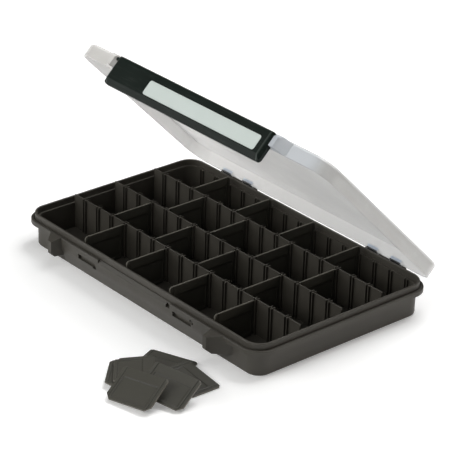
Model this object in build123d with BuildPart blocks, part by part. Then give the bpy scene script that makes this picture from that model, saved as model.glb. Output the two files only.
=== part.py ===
"""Compartment storage box: a moulded tray with fixed partitions and slots, loose dividers that drop into
the slots, a pile of spare dividers, a clear lid hinged along the back, and a latch bar with a label that
swings on the lid's front.

Millimetres. The origin is the centre of the tray's underside, +X runs along the long side, +Y points to
the hinge and +Z up. The lid stands open at its rest angle, and the latch hangs shut against the lid.
"""
from build123d import *
import os
from math import cos, radians, sqrt

os.makedirs("parts", exist_ok=True)

# Rim and body of the tray
rim_length = 280.0
rim_width = 172.0
rim_corner = 16.5
rim_top = 23.0
rim_plate = 1.8
rim_drop = 3.7
rim_skirt = 1.6
rim_round = 0.8
body_inset = 5.4
tray_wall = 1.5
tray_floor = 1.6
foot_round = 1.8

# Lip that stands on the rim inside the lid, with a groove at its foot
lip_inset = 3.0
lip_thickness = 1.8
lip_height = 4.8
lip_round = 0.8
groove_width = 1.0
groove_depth = 0.5

# Fixed partitions and the slots that hold the dividers
row_count = 4
partition_thickness = 1.2
partition_rise = 2.3
slot_count = 15
slot_pitch = 17.07
slot_gap = 2.0
rib_thickness = 0.8
rib_depth = 1.7
rib_rise = 0.5

# Loose dividers, and the slots that hold one in each row
divider_face_play = 0.2
divider_end_play = 0.2
divider_floor_gap = 0.3
panel_depth = 0.35
panel_side = 4.6
panel_foot = 2.6
panel_head = 8.0
tongue_inset = 2.3
tongue_groove = 0.8
tongue_depth = 0.3
divider_foot_corner = 4.0
divider_head_corner = 1.4
divider_slots = {1: (4, 7, 10, 13), 2: (3, 6, 9, 12), 3: (4, 7, 10, 13), 4: (3, 6, 9, 12)}

# Spare dividers in a loose pile ahead of the ears, from the floor up. For the middle of each one's foot
# edge: place along X, distance ahead of the ears, and height as thicknesses below it plus a rise. Then in
# degrees the lean of its head edge, the dip of its right end and its turn.
spare_places = (
    (85.5, 38.0, 0.5, 0.2, 0, 0, 22),
    (107.5, 40.5, 1.5, 0.05, 0, 4.5, -2),
    (66.5, 66.0, 1.5, 0.8, 2, -3, -44),
    (71.5, 64.0, 2.5, 1.6, 6, -4, -39),
    (120.5, 64.0, 2.5, -0.15, 26, 6, 18),
    (109.5, 82.5, 2.5, -1.0, 28, -3, 15),
)

# Front of the tray: sloping apron, finger scoop, catch windows and the two ears beside the latch
apron_foot = 1.8
apron_crease = 14.5
apron_crease_round = 12.0
scoop_half = 43.0
scoop_depth = 2.6
scoop_drop = 3.0
catch_middle = 57.0
catch_width = 21.0
catch_low = 14.5
catch_height = 3.9
catch_depth = 2.3
notch_width = 4.0
notch_height = 3.0
notch_depth = 2.3
notch_places = ((-47.5, 14.9), (40.5, 20.2), (68.0, 18.6))
ear_end_gap = 2.4
ear_inner_taper = 2.5
ear_nose = 4.0
ear_outer_taper = 13.7
ear_reach = 8.5
ear_low = 8.2
ear_toe = 3.0
ear_slope = 1.8

# Hinge along the back: bars on the tray, knuckles on the lid
hinge_back = 3.0
hinge_below = 0.5
bar_radius = 1.5
bar_clearance = 0.05
knuckle_radius = 2.6
knuckle_mouth = 2.2
knuckle_length = 13.5
knuckle_middles = (73.05, 98.35)
knuckle_play = 0.3
lug_length = 1.8
lug_radius = 1.6

# Lid
lid_gap = 0.3
lid_depth = 11.4
lid_plate = 1.5
lid_wall = 1.5
lid_round = 2.5
lid_open = 45.5
cheek_height = 10.3
cheek_nose = 2.5

# Latch bar, with its pivot pins in the lid's cheeks, and the label in its face
latch_half = 88.6
latch_low = 10.0
latch_front = 8.0
latch_thickness = 6.0
latch_skin = 1.8
latch_foot = 2.5
latch_bevel = 4.5
latch_end_bevel = 2.6
latch_end_depth = 3.0
latch_corner = 3.0
latch_end_wall = 4.6
pivot_height = 31.0
pivot_radius = 3.2
pin_radius = 1.5
pin_clearance = 0.05
pin_reach = 4.4
pin_end_play = 0.3
hook_width = 19.0
hook_low = 15.6
hook_height = 1.6
hook_gap = 0.35
label_height = 12.0
label_thickness = 0.5
label_corner = 2.0
label_play = 0.2
label_recess = 0.6
label_margin = 7.65
label_low = 15.3

# Sizes that follow from those above
body_length = rim_length - 2 * body_inset
body_width = rim_width - 2 * body_inset
body_corner = rim_corner - body_inset
cavity_length = body_length - 2 * tray_wall
cavity_width = body_width - 2 * tray_wall
cavity_corner = body_corner - tray_wall
lip_length = rim_length - 2 * lip_inset
lip_width = rim_width - 2 * lip_inset
lip_corner = rim_corner - lip_inset
lip_top = rim_top + lip_height
partition_top = lip_top + partition_rise
row_width = (cavity_width - (row_count - 1) * partition_thickness) / row_count
row_pitch = row_width + partition_thickness
rim_low = rim_top - rim_drop
rim_front = -rim_width / 2
rim_back = rim_width / 2
wall_front = -body_width / 2
wall_middle = wall_front + tray_wall / 2
ear_front = rim_front - ear_reach
ear_inner_front = latch_half + ear_end_gap
ear_inner_back = ear_inner_front - ear_inner_taper
ear_outer_front = ear_inner_front + ear_nose
ear_outer_back = ear_outer_front + ear_outer_taper
hinge_y = rim_back + hinge_back
hinge_z = rim_top - hinge_below
lid_base = rim_top + lid_gap
cheek_top = lid_base + cheek_height
latch_face = rim_front - latch_front
latch_back = latch_face + latch_thickness
pivot_y = latch_face + pivot_radius
latch_top = pivot_height + pivot_radius
label_floor = latch_face + label_recess
label_left = -latch_half / 2
label_right = latch_half - label_margin
label_length = label_right - label_left
label_middle = (label_left + label_right) / 2
divider_thickness = slot_gap - 2 * divider_face_play
divider_width = row_width - 2 * divider_end_play
divider_low = tray_floor + divider_floor_gap
divider_height = partition_top - divider_low


def row_middle(row):
    """Distance of a row of compartments from the tray's middle, counted from the front."""
    return (row - (row_count + 1) / 2) * row_pitch


def slot_place(slot):
    """Distance of a slot from the tray's middle, counted from the left."""
    return (slot - (slot_count + 1) / 2) * slot_pitch


def opened(plane):
    """A plane of the closed lid, carried round the hinge to the lid's rest angle."""
    swing = Location((0, hinge_y, hinge_z), (-lid_open, 0, 0)) * Location((0, -hinge_y, -hinge_z))
    return Plane(swing * plane.location)


def make_divider(label, seat):
    """One divider. The seat plane lies in the middle of its thickness, with its origin at the middle of
    the lower edge, X along the edge and Y up the divider.
    """
    panel_width = divider_width - 2 * panel_side
    panel_height = divider_height - panel_foot - panel_head
    tongue_x = divider_width / 2 - tongue_inset - tongue_groove / 2
    with BuildPart() as divider:
        with BuildSketch(seat) as outline:
            Rectangle(divider_width, divider_height, align=(Align.CENTER, Align.MIN))
            chamfer(outline.vertices().group_by(Axis.Y)[0], divider_foot_corner)
            chamfer(outline.vertices().group_by(Axis.Y)[-1], divider_head_corner)
        extrude(amount=divider_thickness / 2, both=True)
        for side in (-1, 1):
            face = seat.offset(side * divider_thickness / 2)
            with BuildSketch(face):
                with Locations((0, panel_foot)):
                    Rectangle(panel_width, panel_height, align=(Align.CENTER, Align.MIN))
            extrude(amount=-side * panel_depth, mode=Mode.SUBTRACT)
            with BuildSketch(face):
                with Locations((-tongue_x, 0), (tongue_x, 0)):
                    Rectangle(tongue_groove, 2 * divider_height)
            extrude(amount=-side * tongue_depth, mode=Mode.SUBTRACT)
    divider.part.label = label
    export_step(divider.part, f"parts/{label}.step")


# Tray
partition_ys = [(row_middle(row) + row_middle(row + 1)) / 2 for row in range(1, row_count)]
rib_shift = (slot_gap + rib_thickness) / 2
rib_xs = [slot_place(slot) + side * rib_shift for slot in range(1, slot_count + 1) for side in (-1, 1)]
lug_near = knuckle_middles[0] - knuckle_length / 2 - knuckle_play
lug_between = knuckle_middles[0] + knuckle_length / 2 + knuckle_play
lug_beyond = knuckle_middles[1] - knuckle_length / 2 - knuckle_play
lug_far = knuckle_middles[1] + knuckle_length / 2 + knuckle_play
lug_spans = (
    (lug_near - lug_length, lug_near),
    (lug_between, lug_between + lug_length),
    (lug_beyond - lug_length, lug_beyond),
    (lug_far, lug_far + lug_length),
)
neck = lug_radius * cos(radians(45))

with BuildPart() as tray:
    # body with its rounded foot, and the rim round its top, hollow underneath
    with BuildSketch():
        RectangleRounded(body_length, body_width, body_corner)
    extrude(amount=rim_top)
    fillet(tray.edges().group_by(Axis.Z)[0], foot_round)
    with BuildSketch(Plane.XY.offset(rim_low)):
        RectangleRounded(rim_length, rim_width, rim_corner)
    extrude(amount=rim_drop)
    fillet(tray.edges().group_by(Axis.Z)[-1], rim_round)
    with BuildSketch(Plane.XY.offset(rim_low)):
        RectangleRounded(rim_length - 2 * rim_skirt, rim_width - 2 * rim_skirt, rim_corner - rim_skirt)
        RectangleRounded(body_length, body_width, body_corner, mode=Mode.SUBTRACT)
    extrude(amount=rim_drop - rim_plate, mode=Mode.SUBTRACT)

    # sloping apron under the front of the rim, from ear to ear
    with BuildSketch(Plane.XY.offset(apron_foot)):
        Polygon(
            (-ear_inner_front, wall_middle),
            (-ear_inner_front, rim_front),
            (ear_inner_front, rim_front),
            (ear_inner_front, wall_middle),
            align=None,
        )
    extrude(amount=rim_top - rim_plate - apron_foot)
    with BuildSketch(Plane.YZ):
        with BuildLine():
            FilletPolyline(
                (wall_front, apron_foot),
                (rim_front, apron_crease),
                (rim_front, rim_low),
                radius=apron_crease_round,
            )
            Polyline(
                (rim_front, rim_low),
                (rim_front - 1, rim_low),
                (rim_front - 1, apron_foot - 1),
                (wall_front, apron_foot - 1),
                (wall_front, apron_foot),
            )
        make_face()
    extrude(amount=ear_inner_front, both=True, mode=Mode.SUBTRACT)

    # ears beside the latch, sloped on top and cut back at the toe
    for side in (-1, 1):
        with BuildSketch(Plane.XY.offset(ear_low)):
            Polygon(
                (side * ear_inner_back, wall_middle),
                (side * ear_inner_front, ear_front),
                (side * ear_outer_front, ear_front),
                (side * ear_outer_back, wall_middle),
                align=None,
            )
        extrude(amount=rim_top - ear_low)
    with BuildSketch(Plane.YZ):
        Polygon(
            (rim_front, rim_top),
            (ear_front, rim_top - ear_slope),
            (ear_front, rim_top),
            align=None,
        )
        Polygon(
            (ear_front + ear_toe, ear_low),
            (ear_front, ear_low + ear_toe),
            (ear_front, ear_low),
            align=None,
        )
    extrude(amount=ear_outer_back, both=True, mode=Mode.SUBTRACT)

    # lip on the rim, and the groove at its foot
    with BuildSketch(Plane.XY.offset(rim_top)):
        RectangleRounded(lip_length, lip_width, lip_corner)
    extrude(amount=lip_height)
    with BuildSketch(Plane.XY.offset(rim_top)):
        RectangleRounded(
            lip_length + 2 * groove_width,
            lip_width + 2 * groove_width,
            lip_corner + groove_width,
        )
        RectangleRounded(lip_length, lip_width, lip_corner, mode=Mode.SUBTRACT)
    extrude(amount=-groove_depth, mode=Mode.SUBTRACT)

    # inside of the lip and the cavity below it, which leave a ledge between them
    with BuildSketch(Plane.XY.offset(rim_top)):
        RectangleRounded(
            lip_length - 2 * lip_thickness,
            lip_width - 2 * lip_thickness,
            lip_corner - lip_thickness,
        )
    extrude(amount=lip_height, mode=Mode.SUBTRACT)
    fillet(tray.edges().group_by(Axis.Z)[-1], lip_round)
    with BuildSketch(Plane.XY.offset(tray_floor)):
        RectangleRounded(cavity_length, cavity_width, cavity_corner)
    extrude(amount=rim_top - tray_floor, mode=Mode.SUBTRACT)

    # fixed partitions, with a pair of ribs at each slot that stand a little above them
    with BuildSketch(Plane.XY.offset(tray_floor)):
        with Locations([(0, y) for y in partition_ys]):
            Rectangle(cavity_length, partition_thickness)
    extrude(amount=partition_top - tray_floor)
    with BuildSketch(Plane.XY.offset(tray_floor)):
        with Locations([(x, y) for x in rib_xs for y in partition_ys]):
            Rectangle(rib_thickness, partition_thickness + 2 * rib_depth)
    extrude(amount=partition_top + rib_rise - tray_floor)
    with BuildSketch(Plane.XY.offset(tray_floor)):
        for side in (-1, 1):
            with Locations([(x, side * (cavity_width - rib_depth) / 2) for x in rib_xs]):
                Rectangle(rib_thickness, rib_depth)
    extrude(amount=rim_top - tray_floor)

    # finger scoop in the front of the rim, the catch windows, and the notches beside them
    with BuildSketch(Plane.YZ):
        Polygon(
            (rim_front + scoop_depth, rim_top),
            (rim_front, rim_top - scoop_drop),
            (rim_front - 1, rim_top - scoop_drop),
            (rim_front - 1, rim_top),
            align=None,
        )
    extrude(amount=scoop_half, both=True, mode=Mode.SUBTRACT)
    with BuildSketch(Plane.XZ.offset(-rim_front)):
        with Locations((-catch_middle, catch_low), (catch_middle, catch_low)):
            Rectangle(catch_width, catch_height, align=(Align.CENTER, Align.MIN))
    extrude(amount=-catch_depth, mode=Mode.SUBTRACT)
    with BuildSketch(Plane.XZ.offset(-rim_front)):
        with Locations(*notch_places):
            Rectangle(notch_width, notch_height)
    extrude(amount=-notch_depth, mode=Mode.SUBTRACT)

    # hinge lugs behind the rim, and the bars that they carry
    for side in (-1, 1):
        for start, end in lug_spans:
            with BuildSketch(Plane.YZ.offset(side * start)):
                with Locations((hinge_y, hinge_z)):
                    Circle(lug_radius)
                Polygon(
                    (rim_back - rim_skirt / 2, rim_low),
                    (hinge_y, hinge_z - lug_radius),
                    (hinge_y - neck, hinge_z + neck),
                    (rim_back, rim_top - rim_round),
                    (rim_back - rim_skirt / 2, rim_top - rim_round),
                    align=None,
                )
            extrude(amount=side * (end - start))
        with BuildSketch(Plane.YZ.offset(side * lug_near)):
            with Locations((hinge_y, hinge_z)):
                Circle(bar_radius)
        extrude(amount=side * (lug_far - lug_near))

tray.part.label = "tray"
export_step(tray.part, "parts/tray.step")

# Dividers in their slots
for row, slots in divider_slots.items():
    for place, slot in enumerate(slots, start=1):
        foot = (slot_place(slot), row_middle(row), divider_low)
        make_divider(f"divider_row{row}_{place}", Plane(foot, x_dir=(0, 1, 0), z_dir=(1, 0, 0)))

# Spare dividers
for number, (x, ahead, layers, rise, lean, dip, turn) in enumerate(spare_places, start=1):
    foot = (x, ear_front - ahead, layers * divider_thickness + rise)
    make_divider(f"spare_divider_{number}", Plane(Location(foot, (lean, dip, turn), Extrinsic.XYZ)))

# Lid
lid_up = Axis((0, hinge_y, hinge_z), opened(Plane.XY).z_dir)

with BuildPart() as lid:
    # pan and the cheeks that hold the latch's pins
    with BuildSketch(opened(Plane.XY.offset(lid_base))):
        RectangleRounded(rim_length, rim_width, rim_corner)
    extrude(amount=lid_depth)
    fillet(lid.edges().group_by(lid_up)[-1], lid_round)
    for side in (-1, 1):
        with BuildSketch(opened(Plane.XY.offset(lid_base))):
            Polygon(
                (side * ear_inner_back, wall_middle),
                (side * ear_inner_front, ear_front),
                (side * ear_outer_front, ear_front),
                (side * ear_outer_back, wall_middle),
                align=None,
            )
        extrude(amount=cheek_height)
    with BuildSketch(opened(Plane.YZ)):
        Polygon(
            (ear_front + cheek_nose, cheek_top),
            (ear_front, cheek_top - cheek_nose),
            (ear_front, cheek_top),
            align=None,
        )
    extrude(amount=ear_outer_back, both=True, mode=Mode.SUBTRACT)

    # hollow inside
    with BuildSketch(opened(Plane.XY.offset(lid_base))):
        RectangleRounded(rim_length - 2 * lid_wall, rim_width - 2 * lid_wall, rim_corner - lid_wall)
    extrude(amount=lid_depth - lid_plate, mode=Mode.SUBTRACT)

    # blind bores for the latch's pins
    for side in (-1, 1):
        with BuildSketch(opened(Plane.YZ.offset(side * latch_half))):
            with Locations((pivot_y, pivot_height)):
                Circle(pin_radius + pin_clearance)
        extrude(amount=side * (pin_reach + pin_end_play), mode=Mode.SUBTRACT)

    # knuckles that clip over the tray's bars
    for middle in knuckle_middles:
        for side in (-1, 1):
            with BuildSketch(opened(Plane.YZ.offset(side * middle))):
                with Locations((hinge_y, hinge_z)):
                    Circle(knuckle_radius)
                Polygon(
                    (rim_back - lid_wall, lid_base),
                    (hinge_y, lid_base),
                    (hinge_y, hinge_z + knuckle_radius),
                    (rim_back - lid_wall, hinge_z + knuckle_radius),
                    align=None,
                )
            extrude(amount=knuckle_length / 2, both=True)
            with BuildSketch(opened(Plane.YZ.offset(side * middle))):
                with Locations((hinge_y, hinge_z)):
                    Circle(bar_radius + bar_clearance)
                    Rectangle(knuckle_mouth, 2 * knuckle_radius, align=(Align.CENTER, Align.MAX))
            extrude(amount=knuckle_length / 2, both=True, mode=Mode.SUBTRACT)

lid.part.label = "lid"
export_step(lid.part, "parts/lid.step")

# Latch
latch_back_top = pivot_height + sqrt(pivot_radius**2 - (latch_back - pivot_y) ** 2)

with BuildPart() as latch:
    # bar with a bevelled foot and a round top about the pivot
    with BuildSketch(opened(Plane.YZ)):
        with BuildLine():
            Polyline(
                (latch_back, latch_back_top),
                (latch_back, latch_low),
                (latch_back - latch_foot, latch_low),
                (latch_face, latch_low + latch_bevel),
                (latch_face, pivot_height),
            )
            ThreePointArc(
                (latch_face, pivot_height),
                (pivot_y, latch_top),
                (latch_back, latch_back_top),
            )
        make_face()
    extrude(amount=latch_half, both=True)
    with BuildSketch(opened(Plane.XY.offset(latch_low))):
        for side in (-1, 1):
            Polygon(
                (side * (latch_half - latch_end_bevel), latch_face),
                (side * latch_half, latch_face + latch_end_depth),
                (side * latch_half, latch_face),
                align=None,
            )
    extrude(amount=latch_top - latch_low, mode=Mode.SUBTRACT)
    with BuildSketch(opened(Plane.XZ.offset(-latch_back))):
        with Locations((0, latch_low)):
            RectangleRounded(
                2 * latch_half,
                latch_top - latch_low,
                latch_corner,
                align=(Align.CENTER, Align.MIN),
            )
    extrude(amount=latch_thickness, mode=Mode.INTERSECT)

    # hollow back, and the hooks that reach for the catch windows
    with BuildSketch(opened(Plane.YZ)):
        Polygon(
            (latch_back, latch_low + latch_skin),
            (latch_back - latch_foot, latch_low + latch_skin),
            (latch_face + latch_skin, latch_low + latch_skin + latch_bevel),
            (latch_face + latch_skin, pivot_height - latch_skin),
            (latch_back, pivot_height - latch_skin),
            align=None,
        )
    extrude(amount=latch_half - latch_end_wall, both=True, mode=Mode.SUBTRACT)
    for side in (-1, 1):
        with BuildSketch(opened(Plane.YZ.offset(side * catch_middle))):
            Polygon(
                (latch_face + latch_skin / 2, hook_low),
                (rim_front - hook_gap, hook_low),
                (rim_front - hook_gap, hook_low + hook_height),
                (latch_face + latch_skin / 2, hook_low + hook_height),
                align=None,
            )
        extrude(amount=hook_width / 2, both=True)

    # pivot pins
    for side in (-1, 1):
        with BuildSketch(opened(Plane.YZ.offset(side * (latch_half - latch_end_bevel)))):
            with Locations((pivot_y, pivot_height)):
                Circle(pin_radius)
        extrude(amount=side * (latch_end_bevel + pin_reach))

    # recess for the label
    with BuildSketch(opened(Plane.XZ.offset(-latch_face))):
        with Locations((label_middle, label_low - label_play)):
            RectangleRounded(
                label_length + 2 * label_play,
                label_height + 2 * label_play,
                label_corner + label_play,
                align=(Align.CENTER, Align.MIN),
            )
    extrude(amount=-label_recess, mode=Mode.SUBTRACT)

latch.part.label = "latch"
export_step(latch.part, "parts/latch.step")

# Label
with BuildPart() as latch_label:
    with BuildSketch(opened(Plane.XZ.offset(-label_floor))):
        with Locations((label_middle, label_low)):
            RectangleRounded(label_length, label_height, label_corner, align=(Align.CENTER, Align.MIN))
    extrude(amount=label_thickness)

latch_label.part.label = "latch_label"
export_step(latch_label.part, "parts/latch_label.step")
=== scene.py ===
"""Looks of a compartment storage box: a dark moulded tray with lift-out dividers, a clear hinged
lid, a latch bar with a label, and a pile of spare dividers on a pale floor. Lengths are in metres,
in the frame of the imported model: the origin is the centre of the tray's underside, +X along its
long side, +Y to the hinge, +Z up.
"""
from math import cos, radians, sin

import bmesh
import bpy
import numpy as np
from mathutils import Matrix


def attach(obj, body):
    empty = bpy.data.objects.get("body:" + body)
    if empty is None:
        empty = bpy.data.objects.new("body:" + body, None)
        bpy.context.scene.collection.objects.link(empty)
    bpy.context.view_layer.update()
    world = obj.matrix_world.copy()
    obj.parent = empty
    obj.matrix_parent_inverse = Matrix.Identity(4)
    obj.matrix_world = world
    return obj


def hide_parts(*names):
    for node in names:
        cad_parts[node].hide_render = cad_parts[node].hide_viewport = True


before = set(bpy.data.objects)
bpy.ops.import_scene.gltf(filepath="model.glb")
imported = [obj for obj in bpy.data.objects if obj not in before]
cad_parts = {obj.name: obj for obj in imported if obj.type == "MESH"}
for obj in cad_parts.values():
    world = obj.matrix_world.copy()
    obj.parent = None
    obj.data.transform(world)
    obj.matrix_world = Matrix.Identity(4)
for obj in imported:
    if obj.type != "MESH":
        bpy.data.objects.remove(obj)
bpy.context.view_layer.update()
scene = bpy.context.scene

# Camera. It stands to the right of the box's front and above it, far off with a long lens, and
# looks straight at the middle of the picture.
photo_view = bpy.data.cameras.new("photo_view")
photo_view.sensor_width = 36
photo_view.lens = 175.58
photo_view.clip_end = 50
camera = bpy.data.objects.new("photo_view", photo_view)
camera.location = (1.13143, -0.97187, 0.78663)
camera.rotation_euler = (radians(63.4912), radians(-1.4495), radians(49.9744))
scene.collection.objects.link(camera)
scene.camera = camera

# Tray. One dark olive-grey moulding in a hard plastic with a fine satin grain, lightly dusty on the
# faces that lie flat. Floor, walls, rim, partitions, ears and hinge bars are all of one piece.
tray_dark = (0.045, 0.041, 0.034)
tray_light = (0.061, 0.056, 0.046)
dust_colour = (0.30, 0.285, 0.26)
# Colours of the painted highlight on the dividers' edges and the painted shade in their creases.
edge_highlight_colour = (0.20, 0.185, 0.155)
crease_shade_colour = (0.018, 0.017, 0.014)


class Wire:
    """A socket of a finish's nodes. Arithmetic on wires and numbers adds Math nodes to the same
    finish."""

    def __init__(self, finish, socket):
        self.finish = finish
        self.socket = socket

    def _math(self, operation, *values):
        sockets = dict(enumerate(values))
        return self.finish.node("ShaderNodeMath", {"operation": operation}, sockets)

    def __add__(self, other):
        return self._math("ADD", self, other)

    def __radd__(self, other):
        return self._math("ADD", other, self)

    def __sub__(self, other):
        return self._math("SUBTRACT", self, other)

    def __rsub__(self, other):
        return self._math("SUBTRACT", other, self)

    def __mul__(self, other):
        return self._math("MULTIPLY", self, other)

    def __rmul__(self, other):
        return self._math("MULTIPLY", other, self)

    def __pow__(self, other):
        return self._math("POWER", self, other)

    def __abs__(self):
        return self._math("ABSOLUTE", self)

    def __neg__(self):
        return self._math("MULTIPLY", self, -1)

    def above(self, low, high):
        """Rises smoothly from 0 at low to 1 at high."""
        settings = {"interpolation_type": "SMOOTHSTEP"}
        sockets = {"Value": self, "From Min": low, "From Max": high, "To Min": 0.0, "To Max": 1.0}
        return self.finish.node("ShaderNodeMapRange", settings, sockets)


class Finish:
    """A material, or a surround, being made. node() adds any node, and seal() ends a material."""

    def __init__(self, name, kind=bpy.data.materials):
        self.material = kind.new(name)
        self.material.use_nodes = True
        self.tree = self.material.node_tree
        self.tree.nodes.clear()

    def node(self, kind, settings=None, sockets=None, output=0):
        """Adds a node, sets its settings first and its sockets next, and gives one output, if it
        has any, as a wire."""
        made = self.tree.nodes.new(kind)
        for key, value in (settings or {}).items():
            setattr(made, key, value)
        for key, value in (sockets or {}).items():
            if isinstance(value, Wire):
                self.tree.links.new(value.socket, made.inputs[key])
            elif isinstance(value, tuple) and len(value) == 3 and made.inputs[key].type == "RGBA":
                made.inputs[key].default_value = (*value, 1.0)
            else:
                made.inputs[key].default_value = value
        return Wire(self, made.outputs[output]) if made.outputs else None

    def place(self):
        """Where a point lies in the object's own coordinates."""
        return self.node("ShaderNodeTexCoord", output="Object")

    def axes(self, place):
        """The three coordinates of a place, each as a wire."""
        split = self.node("ShaderNodeSeparateXYZ", None, {"Vector": place})
        outputs = split.socket.node.outputs
        return [Wire(self, outputs[i]) for i in range(3)]

    def mapped(self, place, **sockets):
        """A place that is moved, turned or stretched by the sockets named."""
        names = {key.title(): value for key, value in sockets.items()}
        return self.node("ShaderNodeMapping", None, {"Vector": place, **names})

    def mottle(self, place, size, detail, roughness):
        """Cloudy noise from 0 to 1 whose patches are about size across."""
        sockets = {"Vector": place, "Scale": 1 / size, "Detail": detail, "Roughness": roughness}
        return self.node("ShaderNodeTexNoise", None, sockets)

    def blend(self, factor, first, second):
        """A colour between two, by a factor from 0 to 1. Of the Mix node, sockets 6 and 7 and
        output 2 are the ones for colours."""
        sockets = {0: factor, 6: first, 7: second}
        return self.node("ShaderNodeMix", {"data_type": "RGBA"}, sockets, 2)

    def relief(self, height, depth, strength):
        """The normal of a surface with a height from 0 to 1 that is depth deep."""
        sockets = {"Height": height, "Distance": depth, "Strength": strength}
        return self.node("ShaderNodeBump", None, sockets)

    def seal(self, **sockets):
        """Puts colours, roughness and the rest on the Principled shader and ends the material."""
        names = {
            key.replace("_", " ").title().replace("Ior", "IOR"): value
            for key, value in sockets.items()
        }
        shader = self.node("ShaderNodeBsdfPrincipled", None, names)
        self.node("ShaderNodeOutputMaterial", None, {"Surface": shader})
        return self.material


def satin_plastic(name, dark, light, grain, gloss, dust, painted_edges=False):
    """Moulded plastic with a fine grain, slow clouds in its colour, and a trace of dust that lies
    on faces turned upward. grain is the depth of the grain, gloss the mean roughness, dust the
    share of dust colour. A piece with painted edges carries a point attribute, 1 on its edges and
    -1 in its creases, which paints a highlight on the edges and shade in the creases.
    """
    finish = Finish(name)
    place = finish.place()
    clouds = finish.mottle(place, size=0.022, detail=3.0, roughness=0.6)
    specks = finish.mottle(place, size=0.0011, detail=2.0, roughness=0.6)
    scuffs = finish.mottle(place, size=0.006, detail=4.0, roughness=0.7).above(0.56, 0.78)
    up = finish.axes(finish.node("ShaderNodeTexCoord", output="Normal"))[2].above(0.75, 1.0)
    colour = finish.blend(clouds * 0.7 + specks * 0.3, dark, light)
    colour = finish.blend(up * (dust * 0.6 + scuffs * dust), colour, dust_colour)
    if painted_edges:
        # Painted light from a point attribute: a highlight on the edges, broken by a little noise,
        # and painted shade in the creases.
        painted_light = finish.node("ShaderNodeAttribute", {"attribute_name": "painted_light"}, output="Fac")
        edge_highlight = painted_light.above(0.1, 1.0) * (0.4 + scuffs * 0.3)
        colour = finish.blend(edge_highlight, colour, edge_highlight_colour)
        colour = finish.blend((-painted_light).above(0.1, 1.0) * 0.6, colour, crease_shade_colour)
    fine = finish.mottle(place, size=0.00028, detail=2.0, roughness=0.55)
    return finish.seal(
        base_color=colour,
        roughness=gloss + (clouds - 0.5) * 0.08 + (specks - 0.5) * 0.06 - scuffs * 0.05,
        specular_ior_level=0.35,
        normal=finish.relief(fine, depth=grain, strength=0.6),
    )


def dress(node, material):
    """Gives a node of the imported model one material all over."""
    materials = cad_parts[node].data.materials
    materials.clear()
    materials.append(material)


tray_plastic = satin_plastic(
    "tray_plastic", tray_dark, tray_light, grain=0.00004, gloss=0.50, dust=0.04
)
dress("tray", tray_plastic)

# Dividers. Loose plates of the same plastic as the tray, with rounded edges, cut corners at the
# foot, a sunk panel on each face and a groove down each side. Sixteen stand in the tray's slots.
divider_dark = (0.044, 0.042, 0.034)
divider_light = (0.060, 0.058, 0.047)
divider_width = 0.03825
divider_height = 0.0282
divider_half = 0.0008
divider_round = 0.0004
divider_low = 0.0019
foot_corner = 0.004
head_corner = 0.0014
panel_side = 0.0046
panel_foot = 0.0026
panel_head = 0.0080
panel_depth = 0.0005
panel_slope = 0.0005
groove_middle = 0.0027
groove_half = 0.0005
groove_depth = 0.0004

# Slots are numbered along X, with slot 8 at the tray's middle, and rows along Y, with the middle
# between rows 2 and 3. slots_used gives the slots that hold a divider in each row.
slot_pitch = 0.01707
row_pitch = 0.03985
middle_slot = 8
middle_row = 2.5
slots_used = {1: (4, 7, 10, 13), 2: (3, 6, 9, 12), 3: (4, 7, 10, 13), 4: (3, 6, 9, 12)}

# Where the grid of a divider's face has its lines: as shares of the rounding, the groove's half
# width and the panel's slope, and with even lines between, which keep their distance from those.
round_shares = np.array([0, 0.08, 0.3, 0.6, 1.0])
groove_shares = np.array([-1, -0.5, 0, 0.5, 1])
slope_shares = np.array([-1, -0.3, 0.3, 1])
line_gap = 0.001
even_lines_from = 0.006
sharp_angle = radians(50)
merge_distance = 1e-7


def ramp(values, low, high):
    """0 below low, 1 above high, and 3t^2 - 2t^3 between, where t is the share of the way."""
    t = np.clip((values - low) / (high - low), 0, 1)
    return t * t * (3 - 2 * t)


def shell_mesh(name, front, back, painted_light):
    """A closed mesh of two grids of points of one size that lie over each other, joined along
    their rims. The last grid, of the same size, is kept on both as a point attribute of painted
    light: highlight on edges, shade in creases. Points that coincide are merged, and faces are
    turned outward.
    """
    rows, columns = front.shape[:2]
    count = rows * columns
    index = np.arange(count).reshape(rows, columns)
    corners = [index[:-1, :-1], index[:-1, 1:], index[1:, 1:], index[1:, :-1]]
    quads = np.stack(corners, axis=-1).reshape(-1, 4)
    rim = np.concatenate([index[0, :-1], index[:-1, -1], index[-1, :0:-1], index[:0:-1, 0]])
    ahead = np.roll(rim, -1)
    band = np.stack([ahead, rim, rim + count, ahead + count], axis=-1)
    faces = np.concatenate([quads, quads[:, ::-1] + count, band])
    points = np.concatenate([front.reshape(-1, 3), back.reshape(-1, 3)])
    mesh = bpy.data.meshes.new(name)
    mesh.from_pydata(points.tolist(), [], faces.tolist())
    # The point attribute of painted light: highlight on edges, shade in grooves and along the
    # panel's outline.
    painted_edges = mesh.attributes.new("painted_light", "FLOAT", "POINT")
    painted_edges.data.foreach_set("value", np.tile(painted_light.ravel(), 2))
    work = bmesh.new()
    work.from_mesh(mesh)
    bmesh.ops.remove_doubles(work, verts=work.verts, dist=merge_distance)
    bmesh.ops.dissolve_degenerate(work, edges=work.edges, dist=merge_distance)
    bmesh.ops.recalc_face_normals(work, faces=work.faces)
    work.to_mesh(mesh)
    work.free()
    mesh.shade_smooth()
    mesh.set_sharp_from_angle(angle=sharp_angle)
    return mesh


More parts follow.
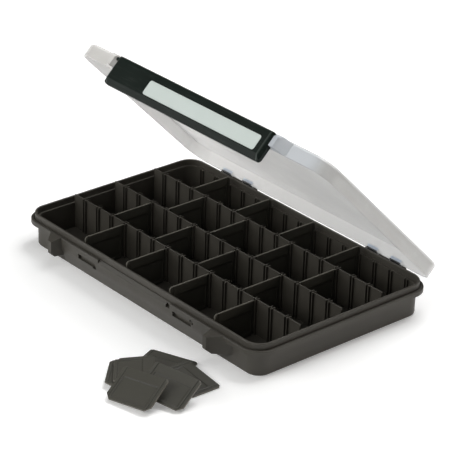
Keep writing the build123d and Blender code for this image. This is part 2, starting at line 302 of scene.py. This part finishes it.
def divider_face():
    """Half of a divider's surface as a grid in its own plane: x across, y up from the foot, and z
    the half thickness there. z starts from the plate's half thickness and loses a quarter circle
    along the outline, the panel's depth inside the panel, and the groove's depth in the grooves.
    Columns and rows that fall outside the cut corners are drawn in to the outline. Gives the
    grid and a field of painted light, which is the share of the quarter circle that is left to the
    outline, less 1 in the grooves and halfway down the panel's slope: above 0 it paints a
    highlight, below 0 shade.
    """
    edge = divider_round * round_shares
    side = divider_width / 2 - np.concatenate([
        edge,
        groove_middle + groove_half * groove_shares,
        [foot_corner],
        panel_side + panel_slope * slope_shares,
    ])
    x = np.concatenate([-side, np.linspace(-side[-1], side[-1], 10)[1:-1], side[::-1]])
    y = np.unique(np.concatenate([
        edge,
        np.linspace(line_gap, foot_corner, 4),
        panel_foot + panel_slope * slope_shares,
        np.linspace(even_lines_from, divider_height - panel_head - line_gap, 6),
        divider_height - panel_head + panel_slope * slope_shares,
        np.linspace(divider_height - even_lines_from, divider_height - head_corner, 3),
        divider_height - edge,
    ]))
    x, y = np.meshgrid(x, y)
    cut = np.maximum(0, np.maximum(foot_corner - y, head_corner - (divider_height - y)))
    limit = divider_width / 2 - cut
    x = np.sign(x) * np.minimum(np.abs(x), limit)
    inset = divider_width / 2 - np.abs(x)
    corner_foot = (inset + y - foot_corner) / np.sqrt(2)
    corner_head = (inset + divider_height - y - head_corner) / np.sqrt(2)
    depth = np.minimum.reduce([inset, y, divider_height - y, corner_foot, corner_head])
    depth = np.clip(depth, 0, divider_round)
    z = divider_half - divider_round + np.sqrt(divider_round**2 - (divider_round - depth) ** 2)
    panel = ramp(inset, panel_side - panel_slope, panel_side + panel_slope)
    panel = panel * ramp(y, panel_foot - panel_slope, panel_foot + panel_slope)
    panel = panel * ramp(divider_height - y, panel_head - panel_slope, panel_head + panel_slope)
    groove = 1 - ramp(np.abs(inset - groove_middle), 0, groove_half)
    z = z - panel_depth * panel - groove_depth * groove * ramp(depth, 0, divider_round)
    # Painted light: up to 1 on the rounded edges for a painted highlight, down to -1 in the grooves
    # and the panel's slope for painted shade.
    painted_light = 1 - depth / divider_round - np.maximum(groove, 4 * panel * (1 - panel))
    return np.stack([x, y, z], axis=-1), painted_light


# The dividers' colour carries a painted highlight on their edges and painted shade in their grooves
# and panel outlines.
divider_plastic = satin_plastic(
    "divider_plastic", divider_dark, divider_light, grain=0.00005, gloss=0.47, dust=0.03, painted_edges=True
)


def make_divider(name, foot, across, up, out):
    """A divider whose foot edge has its middle at foot, and whose own axes lie along three unit
    vectors."""
    face, painted_light = divider_face()
    turn = np.array([across, up, out])
    front = face @ turn + np.array(foot)
    back = (face * np.array([1, 1, -1])) @ turn + np.array(foot)
    mesh = shell_mesh(name, front, back, painted_light)
    mesh.materials.append(divider_plastic)
    piece = bpy.data.objects.new(name, mesh)
    scene.collection.objects.link(piece)
    piece.modifiers.new("even_shading", "WEIGHTED_NORMAL").keep_sharp = True
    return piece


for row, slots in slots_used.items():
    for number, slot in enumerate(slots, start=1):
        node = f"divider_row{row}_{number}"
        foot = ((slot - middle_slot) * slot_pitch, (row - middle_row) * row_pitch, divider_low)
        divider = make_divider(f"{node}_plate", foot, (0, 1, 0), (0, 0, 1), (1, 0, 0))
        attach(divider, node)
        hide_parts(node)

# Spare dividers. Six more of the same plates in a loose pile on the floor ahead of the box. Each
# line gives the middle of the foot edge, then, in degrees, the lean of the head edge, the dip of
# the right end and the turn.
spare_places = (
    ((0.0855, -0.1325, 0.0010), (0, 0, 22)),
    ((0.1075, -0.1350, 0.00245), (0, 4.5, -2)),
    ((0.0665, -0.1605, 0.0032), (2, -3, -44)),
    ((0.0715, -0.1585, 0.0056), (6, -4, -39)),
    ((0.1205, -0.1585, 0.00385), (26, 6, 18)),
    ((0.1095, -0.1770, 0.0030), (28, -3, 15)),
)


def turned(lean, dip, turn):
    """The three axes of a plate that is leant about X, then dipped about Y, then turned about Z."""
    a, b, c = radians(lean), radians(dip), radians(turn)
    about_x = np.array([[1, 0, 0], [0, cos(a), -sin(a)], [0, sin(a), cos(a)]])
    about_y = np.array([[cos(b), 0, sin(b)], [0, 1, 0], [-sin(b), 0, cos(b)]])
    about_z = np.array([[cos(c), -sin(c), 0], [sin(c), cos(c), 0], [0, 0, 1]])
    return (about_z @ about_y @ about_x).T


for number, (foot, angles) in enumerate(spare_places, start=1):
    node = f"spare_divider_{number}"
    spare = make_divider(f"{node}_plate", foot, *turned(*angles))
    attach(spare, node)
    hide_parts(node)

# Lid. One thin moulding in clear plastic that looks frosted: smooth and glossy outside, finely
# etched on its broad panel. It is clearer at the knuckles that clip over the tray's hinge bars.
hinge_y = 0.089
hinge_z = 0.0225
lid_open = radians(45.5)

# The lid's colours. The grey by the hinge paints shade on the back wall, and the near-black paints
# the shadow in the gap under the knuckles.
lid_dark = (0.64, 0.64, 0.63)
lid_light = (0.71, 0.71, 0.70)
flow_white = (0.80, 0.80, 0.80)
left_warm = (0.74, 0.71, 0.67)
cheek_blue = (0.66, 0.71, 0.78)
edge_grey = (0.40, 0.42, 0.42)
hinge_shade_grey = (0.50, 0.50, 0.50)
block_blue = (0.34, 0.41, 0.52)
gap_shadow_black = (0.010, 0.010, 0.010)

# Where the lid's tints begin and end, with the lid shut. The knuckles stand in two pairs, one to
# each side: knuckle_pair is the middle of a pair, and knuckle_apart half the way between its two.
left_to_right = (-0.10, 0.08)
cheek_to_panel = (-0.0875, -0.0805)
edge_outward = (0.1355, 0.1390)
edge_upward = (0.0305, 0.0340)
panel_to_hinge = (0.080, 0.084)
knuckle_pair = 0.0857
knuckle_apart = 0.01265
knuckle_end = (0.0054, 0.0060)
block_top = (0.0262, 0.0268)
# Where the painted shadow under the knuckles ends, upward and backward.
gap_shadow_top = (0.0241, 0.0245)
gap_shadow_back = (0.0874, 0.0880)
clear_front = (0.0866, 0.0872)
clear_top = (0.0238, 0.0246)


def shut_place(finish):
    """Where a point of the lid or the latch would lie with the lid shut: turned back round the
    hinge."""
    back_y = hinge_y - (hinge_y * cos(lid_open) - hinge_z * sin(lid_open))
    back_z = hinge_z - (hinge_y * sin(lid_open) + hinge_z * cos(lid_open))
    place = finish.place()
    return finish.mapped(place, location=(0, back_y, back_z), rotation=(lid_open, 0, 0))


def frosted_lid(name):
    """Clear plastic that is etched to a milky grey. The cheeks, which are thick, look whiter, and
    bluer at the right. The rounded edge all round looks greyer. Near the hinge the colour is
    darker: painted shade on the back wall. Where the back wall thickens for the knuckles it is
    blue-grey, with a near-black painted shadow under it for the gap between lid and tray, and the
    knuckles are clear. Faint flow lines run along the hinge.
    """
    finish = Finish(name)
    place = shut_place(finish)
    x, y, z = finish.axes(place)
    right = x.above(*left_to_right)
    cheek = 1 - y.above(*cheek_to_panel)
    edge = abs(x).above(*edge_outward) * z.above(*edge_upward)
    by_hinge = y.above(*panel_to_hinge)
    off_knuckle = abs(abs(abs(x) - knuckle_pair) - knuckle_apart)
    near_knuckle = 1 - off_knuckle.above(*knuckle_end)
    block = near_knuckle * (1 - z.above(*block_top)) * by_hinge
    # Painted shadow under the knuckles, on the side toward the tray, where the gap between lid and
    # tray lies in shade.
    groove = near_knuckle * (1 - z.above(*gap_shadow_top)) * (1 - y.above(*gap_shadow_back)) * by_hinge
    clear = y.above(*clear_front) * (1 - z.above(*clear_top))
    clouds = finish.mottle(place, size=0.05, detail=3.0, roughness=0.55)
    etch = finish.mottle(place, size=0.0006, detail=2.0, roughness=0.6)
    stretched = finish.mapped(place, scale=(0.04, 1.0, 1.0))
    flow = finish.mottle(stretched, size=0.0022, detail=3.0, roughness=0.6)
    smears = finish.mottle(place, size=0.012, detail=4.0, roughness=0.65).above(0.55, 0.8)
    colour = finish.blend(clouds, lid_dark, lid_light)
    colour = finish.blend((flow - 0.4) * 0.5, colour, flow_white)
    colour = finish.blend((1 - right) * 0.5, colour, left_warm)
    colour = finish.blend(cheek * right * 0.7, colour, cheek_blue)
    colour = finish.blend(edge * 0.5, colour, edge_grey)
    # Painted shade: the back wall by the hinge is darkened toward grey.
    colour = finish.blend(by_hinge * 0.35, colour, hinge_shade_grey)
    colour = finish.blend(block * 0.85, colour, block_blue)
    # Painted shadow: near-black in the gap under the knuckles.
    colour = finish.blend(groove, colour, gap_shadow_black)
    alpha = 0.52 + cheek * 0.12 + edge * 0.1 + block * 0.25 + groove * 0.2 - (1 - right) * 0.08
    alpha = alpha + (clouds - 0.5) * 0.06 + smears * 0.03
    return finish.seal(
        base_color=colour,
        alpha=alpha * (1 - clear * (1 - groove) * 0.7),
        roughness=0.34 - cheek * 0.12 + (etch - 0.5) * 0.1,
        specular_ior_level=0.5,
        normal=finish.relief(etch, depth=0.00003, strength=0.5),
    )


dress("lid", frosted_lid("lid_plastic"))

# Latch bar. A near-black green-tinged moulding, smoother than the tray, hung on two pins in the
# lid's cheeks. Its long face is flat, with a bevel along the foot and a slope at each end.
latch_dark = (0.0070, 0.0110, 0.0090)
latch_light = (0.0110, 0.0165, 0.0135)
# A lighter colour for faint rub marks and for a painted highlight line down each end of the face,
# then where that line lies and how wide it is.
latch_rub_and_highlight = (0.10, 0.115, 0.105)
latch_face_end = 0.0860
highlight_line = (0.0002, 0.0009)


def smooth_black(name):
    """Near-black plastic with a soft sheen, faint rub marks along its length, a very fine grain,
    and a painted highlight line down each end of the face, where it turns into the end's slope.
    """
    finish = Finish(name)
    place = shut_place(finish)
    # Painted highlight: a thin line down each end of the face.
    ends = 1 - abs(abs(finish.axes(place)[0]) - latch_face_end).above(*highlight_line)
    clouds = finish.mottle(place, size=0.03, detail=3.0, roughness=0.6)
    stretched = finish.mapped(place, scale=(0.08, 1.0, 1.0))
    rubs = finish.mottle(stretched, size=0.0012, detail=3.0, roughness=0.6).above(0.5, 0.75)
    colour = finish.blend(clouds, latch_dark, latch_light)
    # Rub marks, and the painted highlight at the ends of the face.
    colour = finish.blend(rubs * 0.10 + ends * 0.5, colour, latch_rub_and_highlight)
    fine = finish.mottle(place, size=0.0003, detail=2.0, roughness=0.5)
    return finish.seal(
        base_color=colour,
        roughness=0.36 + (clouds - 0.5) * 0.08 + rubs * 0.05,
        specular_ior_level=0.16,
        normal=finish.relief(fine, depth=0.00002, strength=0.5),
    )


dress("latch", smooth_black("latch_plastic"))

# Label. A thin pale grey-green plate that lies in the recess of the latch's face. Its front is
# matt, for writing on.
label_dark = (0.56, 0.625, 0.595)
label_light = (0.62, 0.685, 0.655)


def matt_stock(name):
    """Pale matt stock with a fine tooth and the faintest clouding."""
    finish = Finish(name)
    place = shut_place(finish)
    clouds = finish.mottle(place, size=0.02, detail=3.0, roughness=0.6)
    tooth = finish.mottle(place, size=0.0004, detail=3.0, roughness=0.6)
    return finish.seal(
        base_color=finish.blend(clouds * 0.6 + tooth * 0.4, label_dark, label_light),
        roughness=0.6 + (tooth - 0.5) * 0.1,
        normal=finish.relief(tooth, depth=0.00002, strength=0.5),
    )


dress("latch_label", matt_stock("label_stock"))

# Floor and light. A plain white floor that fades out into a white backdrop, which only the camera
# sees, a dim even surround, and five large soft lamps: one in front, one low at the front's left,
# one high behind, one overhead and one low at the back's right.
floor_half = 1.2
floor_fade = (0.55, 1.15)
floor_dark = (0.90, 0.90, 0.90)
floor_light = (0.92, 0.92, 0.92)
floor_glow = 0.25
backdrop_radius = 9.0
backdrop_height = 6.0
backdrop_low = -0.5
backdrop_sides = 48
surround_strength = 0.05
lamp_distance = 2.0
white = (1.0, 1.0, 1.0)


def fading_floor(name):
    """Near-white with the faintest clouding and a little light of its own. It fades out with the
    distance from the middle, the root of x squared plus y squared.
    """
    finish = Finish(name)
    place = finish.place()
    x, y, _ = finish.axes(place)
    fade = ((x * x + y * y) ** 0.5).above(*floor_fade)
    clouds = finish.mottle(place, size=0.4, detail=2.0, roughness=0.5)
    colour = finish.blend(clouds, floor_dark, floor_light)
    return finish.seal(
        base_color=colour,
        roughness=0.7,
        specular_ior_level=0.2,
        emission_color=colour,
        emission_strength=floor_glow,
        alpha=1 - fade,
    )


floor_mesh = bpy.data.meshes.new("floor")
floor_corners = np.array([(-1, -1, 0), (1, -1, 0), (1, 1, 0), (-1, 1, 0)]) * floor_half
floor_mesh.from_pydata(floor_corners.tolist(), [], [(0, 1, 2, 3)])
floor_mesh.materials.append(fading_floor("floor_white"))
floor = bpy.data.objects.new("floor", floor_mesh)
scene.collection.objects.link(floor)


def backdrop_mesh(radius, height, low, sides):
    """A cylinder, closed above and below, with its foot at low: two rings of points round the
    vertical axis, each at radius times the cosine and sine of even turns.
    """
    turn = np.linspace(0, 2 * np.pi, sides + 1)[:-1]
    ring = np.stack([radius * np.cos(turn), radius * np.sin(turn), np.full(sides, low)], axis=-1)
    points = np.concatenate([ring, ring + [0, 0, height]])
    first = np.arange(sides)
    ahead = np.roll(first, -1)
    walls = np.stack([ahead, first, first + sides, ahead + sides], axis=-1)
    ends = [(first + sides)[::-1].tolist(), first.tolist()]
    mesh = bpy.data.meshes.new("backdrop")
    mesh.from_pydata(points.tolist(), [], walls.tolist() + ends)
    return mesh


glow = Finish("backdrop_white")
glow_light = glow.node("ShaderNodeEmission", None, {"Color": white, "Strength": 1.0})
glow.node("ShaderNodeOutputMaterial", None, {"Surface": glow_light})
backdrop = bpy.data.objects.new(
    "backdrop", backdrop_mesh(backdrop_radius, backdrop_height, backdrop_low, backdrop_sides)
)
backdrop.data.materials.append(glow.material)
backdrop.visible_diffuse = False
backdrop.visible_glossy = False
backdrop.visible_transmission = False
backdrop.visible_shadow = False
scene.collection.objects.link(backdrop)

surround = Finish("surround", bpy.data.worlds)
surround_sockets = {"Color": white, "Strength": surround_strength}
surround_light = surround.node("ShaderNodeBackground", None, surround_sockets)
surround.node("ShaderNodeOutputWorld", None, {"Surface": surround_light})
scene.world = surround.material
scene.view_settings.view_transform = "Standard"


def soft_lamp(name, azimuth, elevation, width, height, power, colour=white):
    """A rectangular lamp that faces the box, at an azimuth from +X and an elevation, in degrees."""
    lamp_data = bpy.data.lights.new(name, "AREA")
    lamp_data.shape = "RECTANGLE"
    lamp_data.size = width
    lamp_data.size_y = height
    lamp_data.energy = power
    lamp_data.color = colour
    lamp = bpy.data.objects.new(name, lamp_data)
    turn, rise = radians(azimuth), radians(elevation)
    reach = lamp_distance * cos(rise)
    lamp.location = (reach * cos(turn), reach * sin(turn), lamp_distance * sin(rise))
    lamp.rotation_euler = (radians(90 - elevation), 0, radians(azimuth + 90))
    lamp.visible_camera = False
    scene.collection.objects.link(lamp)


soft_lamp("front", 270, 33, width=1.5, height=0.7, power=14, colour=(1.0, 1.0, 0.97))
soft_lamp("front_left", 232, 20, width=1.2, height=0.8, power=13)
soft_lamp("high", 90, 62, width=1.3, height=0.8, power=30)
soft_lamp("overhead", 0, 89, width=1.0, height=1.0, power=5)
soft_lamp("right_low", 45, 10, width=1.5, height=0.6, power=7, colour=(1.0, 0.89, 0.79))
